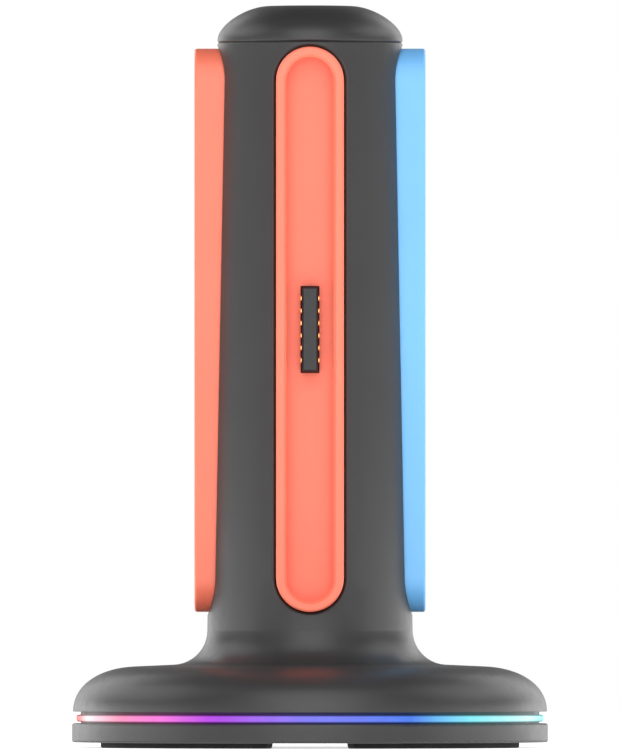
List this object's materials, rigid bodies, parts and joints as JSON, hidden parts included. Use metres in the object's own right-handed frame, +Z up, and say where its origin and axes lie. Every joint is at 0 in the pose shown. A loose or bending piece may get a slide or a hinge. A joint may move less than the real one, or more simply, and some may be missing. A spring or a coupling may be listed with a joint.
{
  "type": "game controller charging station",
  "caption": "Round-footed charging tower: a tapered column with upright coloured pockets that each take a game controller's rail, and a light ring in the foot.",
  "frame": {"origin": "middle of the underside, at the feet", "axes": "+Z up along the column, -Y the front as pictured, +X to the right"},
  "size_m": [0.0896, 0.0896, 0.1397],
  "materials": {
    "grey_shell": "fine satin grain",
    "orange_holder": "satin",
    "blue_holder": "satin",
    "light_guide": "milky, lit from inside",
    "rubber": "matt",
    "black_plastic": "satin",
    "contact_metal": "plated",
    "magnet_plating": "nickel plated",
    "steel": "zinc plated",
    "circuit_board": "solder resist",
    "flat_cable": "laminated film",
    "lamp_white": "clear resin"
  },
  "bodies": {
    "root": {"ballast_plate": "steel", "base_screws": "steel", "board_screws": "steel", "bottom_plate": "grey_shell", "cable_sockets": "black_plastic", "charge_board_back": "circuit_board", "charge_board_front": "circuit_board", "charge_board_left": "circuit_board", "charge_board_right": "circuit_board", "charge_cable_back": "flat_cable", "charge_cable_front": "flat_cable", "charge_cable_left": "flat_cable", "charge_cable_right": "flat_cable", "charge_chips": "black_plastic", "contact_pins_back": "contact_metal", "contact_pins_front": "contact_metal", "contact_pins_left": "contact_metal", "contact_pins_right": "contact_metal", "contact_tongue_back": "black_plastic", "contact_tongue_front": "black_plastic", "contact_tongue_left": "black_plastic", "contact_tongue_right": "black_plastic", "control_chip": "black_plastic", "core_frame": "black_plastic", "foot_back_left": "rubber", "foot_back_right": "rubber", "foot_front_left": "rubber", "foot_front_right": "rubber", "frame_screws": "steel", "holder_back": "blue_holder", "holder_front": "orange_holder", "holder_left": "orange_holder", "holder_right": "blue_holder", "inductors": "black_plastic", "lamp_board": "circuit_board", "lamp_link": "flat_cable", "lamps": "lamp_white", "light_ring": "light_guide", "magnets_back": "magnet_plating", "magnets_front": "magnet_plating", "magnets_left": "magnet_plating", "magnets_right": "magnet_plating", "main_board": "circuit_board", "main_board_screws": "steel", "port_tongue": "black_plastic", "power_port": "steel", "top_cap": "grey_shell", "tower_shell": "grey_shell"}
  },
  "joints": []
}
